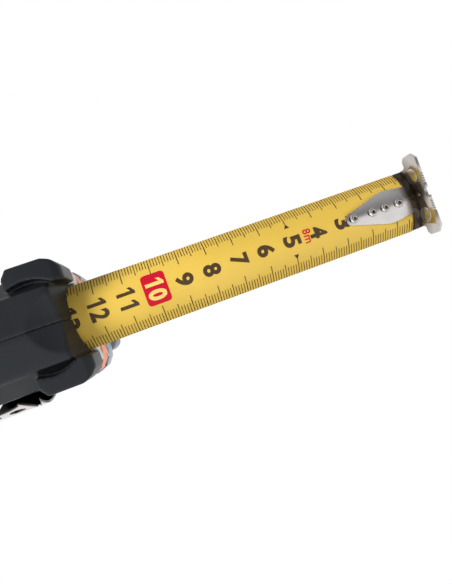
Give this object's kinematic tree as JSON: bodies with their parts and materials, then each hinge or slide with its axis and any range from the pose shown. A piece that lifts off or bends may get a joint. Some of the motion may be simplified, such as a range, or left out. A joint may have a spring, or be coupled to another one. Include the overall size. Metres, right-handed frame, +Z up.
{
  "type": "tape measure",
  "caption": "Pocket tape measure with a rubber-clad case, curved printed blade part drawn out, riveted end hook, thumb lock and belt clip.",
  "frame": {"origin": "middle of the case's flat base, under the drum's axis, on the parting plane", "axes": "+X along the blade to the hook, +Z up, +Y to the belt clip side"},
  "size_m": [0.207, 0.0447, 0.07],
  "materials": {
    "shell": "grey moulded ABS, satin",
    "rubber": "black moulded rubber, satin",
    "accent": "orange, satin",
    "plate": "blue-grey, satin",
    "guide": "black acetal",
    "button": "grey, satin",
    "stem": "dark nylon",
    "pad": "brake rubber",
    "post": "turned steel",
    "spool": "natural nylon",
    "disc": "slip film",
    "spring": "blued spring steel",
    "blade": "yellow coated spring steel with printed scale",
    "chrome": "bright nickel plate",
    "magnet": "nickel plated magnet",
    "screw": "zinc plated steel",
    "label": "blank badge"
  },
  "bodies": {
    "case": {"shell_left": "shell", "shell_right": "shell", "grip_left": "rubber", "grip_right": "rubber", "front_strip": "accent", "lock_plate": "plate", "mouth_guide": "guide", "centre_post": "post", "blade_run": "blade", "clip_root": "chrome", "clip_screw": "screw", "case_screws": "screw", "side_label": "label", "side_discs": "disc"},
    "drum": {"spool": "spool", "spool_cover": "spool", "power_spring": "spring", "blade_coil": "blade"},
    "tape": {"blade": "blade", "hook_rivets": "chrome"},
    "hook": {"hook": "chrome", "hook_magnets": "magnet"},
    "lock": {"lock_button": "button", "lock_stem": "stem", "lock_pad": "pad"},
    "clip": {"belt_clip": "chrome"}
  },
  "joints": [
    {"name": "blade_slide", "type": "slide", "parent": "case", "child": "tape", "axis": [1, 0, 0], "range_m": [-0.1235, 0], "deforming": ["blade"]},
    {"name": "hook_slide", "type": "slide", "parent": "tape", "child": "hook", "axis": [1, 0, 0], "range_m": [0, 0.001]},
    {"name": "drum_spin", "type": "hinge", "parent": "case", "child": "drum", "pos_m": [0, 0, 0.038], "axis": [0, 1, 0], "range_deg": [-1, 274]},
    {"name": "lock_slide", "type": "slide", "parent": "case", "child": "lock", "axis": [0.873, 0, -0.4877], "range_m": [0, 0.0042]},
    {"name": "clip_flex", "type": "hinge", "parent": "case", "child": "clip", "pos_m": [0.0135, 0.0184, 0.047], "axis": [1, 0, 0], "range_deg": [0, 9], "stiffness_Nm_per_rad": 3}
  ],
  "couplings": [
    {"joint": "drum_spin", "follows": "blade_slide", "rad_per_m": -38.462}
  ]
}
